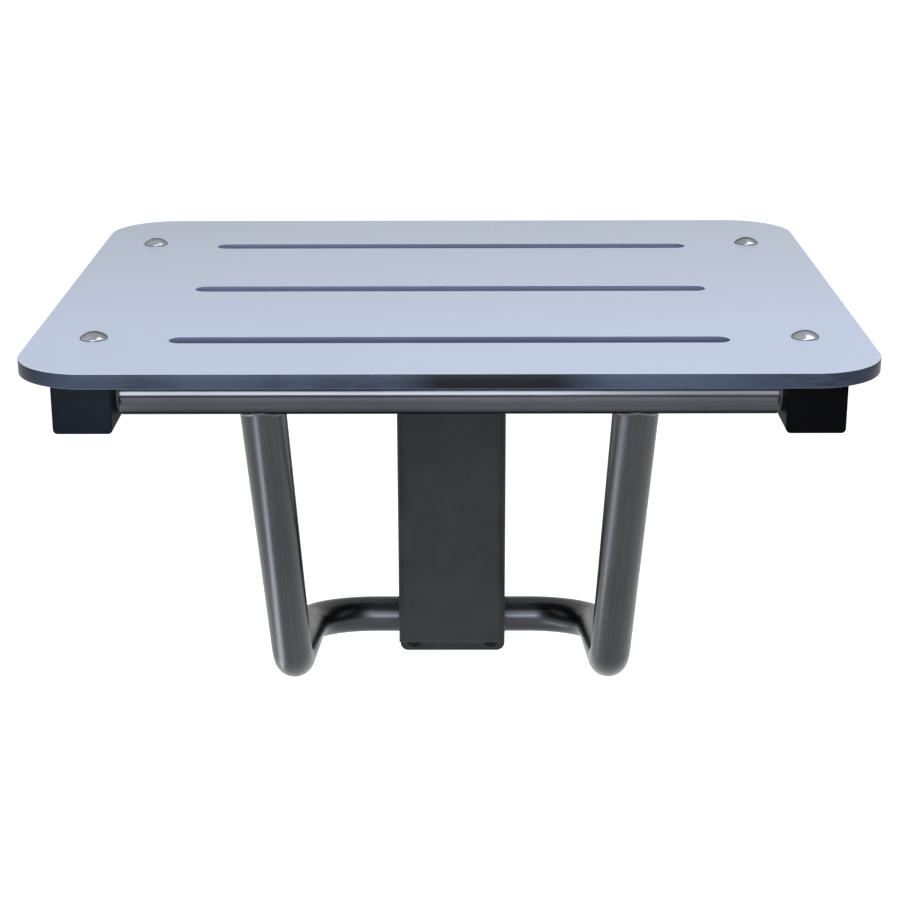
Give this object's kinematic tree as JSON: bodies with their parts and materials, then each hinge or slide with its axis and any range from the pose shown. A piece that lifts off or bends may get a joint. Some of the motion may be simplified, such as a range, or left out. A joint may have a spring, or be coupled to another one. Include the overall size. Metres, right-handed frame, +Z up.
{
  "type": "fold down wall seat",
  "caption": "Wall-mounted seat that folds up: slotted laminate panel on square rails, hinged at a wall bracket and held by a bent tube brace that runs in curved slots.",
  "frame": {"origin": "middle of the four wall holes, on the wall face of the wall plate", "axes": "+Z up, +Y into the wall, the seat stands out towards -Y, X side to side"},
  "size_m": [0.4572, 0.4, 0.3348],
  "materials": {
    "bracket_steel": "dark satin",
    "weld_metal": "rippled weld bead",
    "bush_nylon": "matt",
    "laminate": "fine matt, dark core at the edge",
    "rail_steel": "brushed along the tube",
    "cap_plastic": "matt moulded",
    "fastener_steel": "plain steel",
    "bolt_steel": "polished",
    "tube_steel": "satin, brushed",
    "sleeve_nylon": "matt"
  },
  "bodies": {
    "bracket": {"wall_plate": "bracket_steel", "guide_channel": "bracket_steel", "channel_welds": "weld_metal", "hinge_bush_left": "bush_nylon", "hinge_bush_right": "bush_nylon"},
    "seat": {"seat_panel": "laminate", "rail_left": "rail_steel", "rail_right": "rail_steel", "front_cap_left": "cap_plastic", "front_cap_right": "cap_plastic", "rear_cap_left": "cap_plastic", "rear_cap_right": "cap_plastic", "hinge_rod": "fastener_steel", "hinge_spacer_left": "tube_steel", "hinge_spacer_right": "tube_steel", "hinge_washers": "fastener_steel", "hinge_nuts": "fastener_steel", "seat_bolts": "bolt_steel", "bolt_washers": "fastener_steel", "bolt_nuts": "fastener_steel", "pivot_bush_left": "bush_nylon", "pivot_bush_right": "bush_nylon"},
    "brace": {"front_tube": "tube_steel", "brace_tube": "tube_steel", "leg_welds": "weld_metal", "tube_plug_left": "fastener_steel", "tube_plug_right": "fastener_steel", "pivot_bolt_left": "bolt_steel", "pivot_bolt_right": "bolt_steel", "glide_sleeve": "sleeve_nylon"}
  },
  "joints": [
    {"name": "seat_fold", "type": "hinge", "parent": "bracket", "child": "seat", "pos_m": [0, -0.039, 0.16212], "axis": [-1, 0, 0], "range_deg": [0, 90]},
    {"name": "brace_swing", "type": "hinge", "parent": "seat", "child": "brace", "pos_m": [0, -0.3495, 0.16212], "axis": [-1, 0, 0], "range_deg": [-42.5, 0]}
  ],
  "couplings": [
    {"joint": "brace_swing", "follows": "seat_fold", "ratio": -0.46862}
  ]
}
